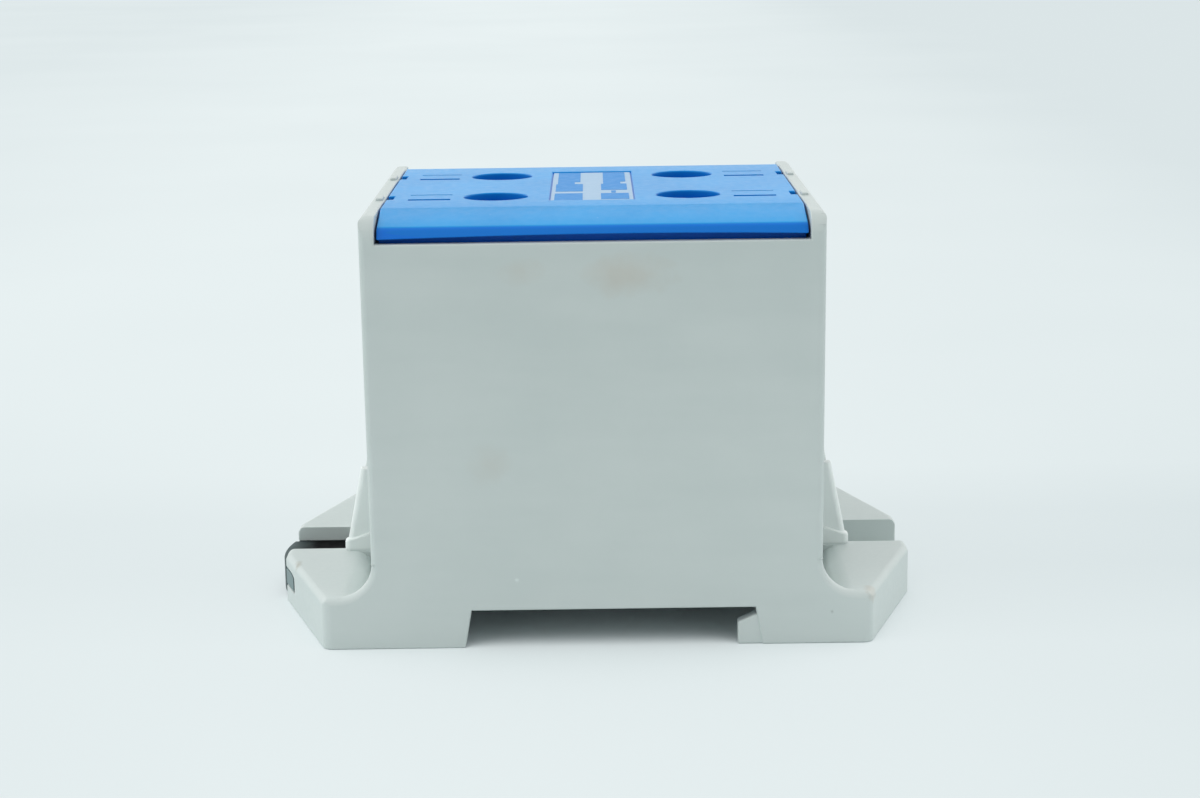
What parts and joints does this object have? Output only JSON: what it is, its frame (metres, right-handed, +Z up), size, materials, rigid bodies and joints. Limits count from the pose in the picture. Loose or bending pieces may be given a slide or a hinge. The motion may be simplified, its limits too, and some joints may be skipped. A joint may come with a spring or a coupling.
{
  "type": "rail-mounted terminal block",
  "caption": "Power terminal block for a 35 mm rail: moulded housing with fixing ears, snap-in lid over clamp screws, through cable bores and a sprung rail latch.",
  "frame": {"origin": "on the mounting plane, below the middle of the body", "axes": "+X across the rail along the cable bores, towards the fixed hooks; +Y along the rail, from front to back; +Z up, away from the rail"},
  "size_m": [0.0841, 0.06, 0.0545],
  "materials": {
    "housing": "satin",
    "lid": "satin",
    "connector": "satin",
    "latch": "satin",
    "spring": "satin",
    "screw": "satin"
  },
  "bodies": {
    "base": {"housing": "housing", "connector_block": "connector", "latch_spring": "spring"},
    "lid": {"lid": "lid"},
    "latch": {"rail_latch": "latch"},
    "screw_front_left": {"clamp_screw_front_left": "screw"},
    "screw_front_right": {"clamp_screw_front_right": "screw"},
    "screw_rear_left": {"clamp_screw_rear_left": "screw"},
    "screw_rear_right": {"clamp_screw_rear_right": "screw"}
  },
  "joints": [
    {"name": "lid_lift", "type": "slide", "parent": "base", "child": "lid", "axis": [0, 0, 1], "range_m": [0, 0.03]},
    {"name": "latch_pull", "type": "slide", "parent": "base", "child": "latch", "axis": [-1, 0, 0], "range_m": [0, 0.0035], "stiffness_N_per_m": 300, "springref_m": -0.005, "deforming": ["latch_spring"]},
    {"name": "screw_front_left_drive", "type": "slide", "parent": "base", "child": "screw_front_left", "axis": [0, 0, -1], "range_m": [0, 0.008]},
    {"name": "screw_front_right_drive", "type": "slide", "parent": "base", "child": "screw_front_right", "axis": [0, 0, -1], "range_m": [0, 0.008]},
    {"name": "screw_rear_left_drive", "type": "slide", "parent": "base", "child": "screw_rear_left", "axis": [0, 0, -1], "range_m": [0, 0.008]},
    {"name": "screw_rear_right_drive", "type": "slide", "parent": "base", "child": "screw_rear_right", "axis": [0, 0, -1], "range_m": [0, 0.008]}
  ]
}
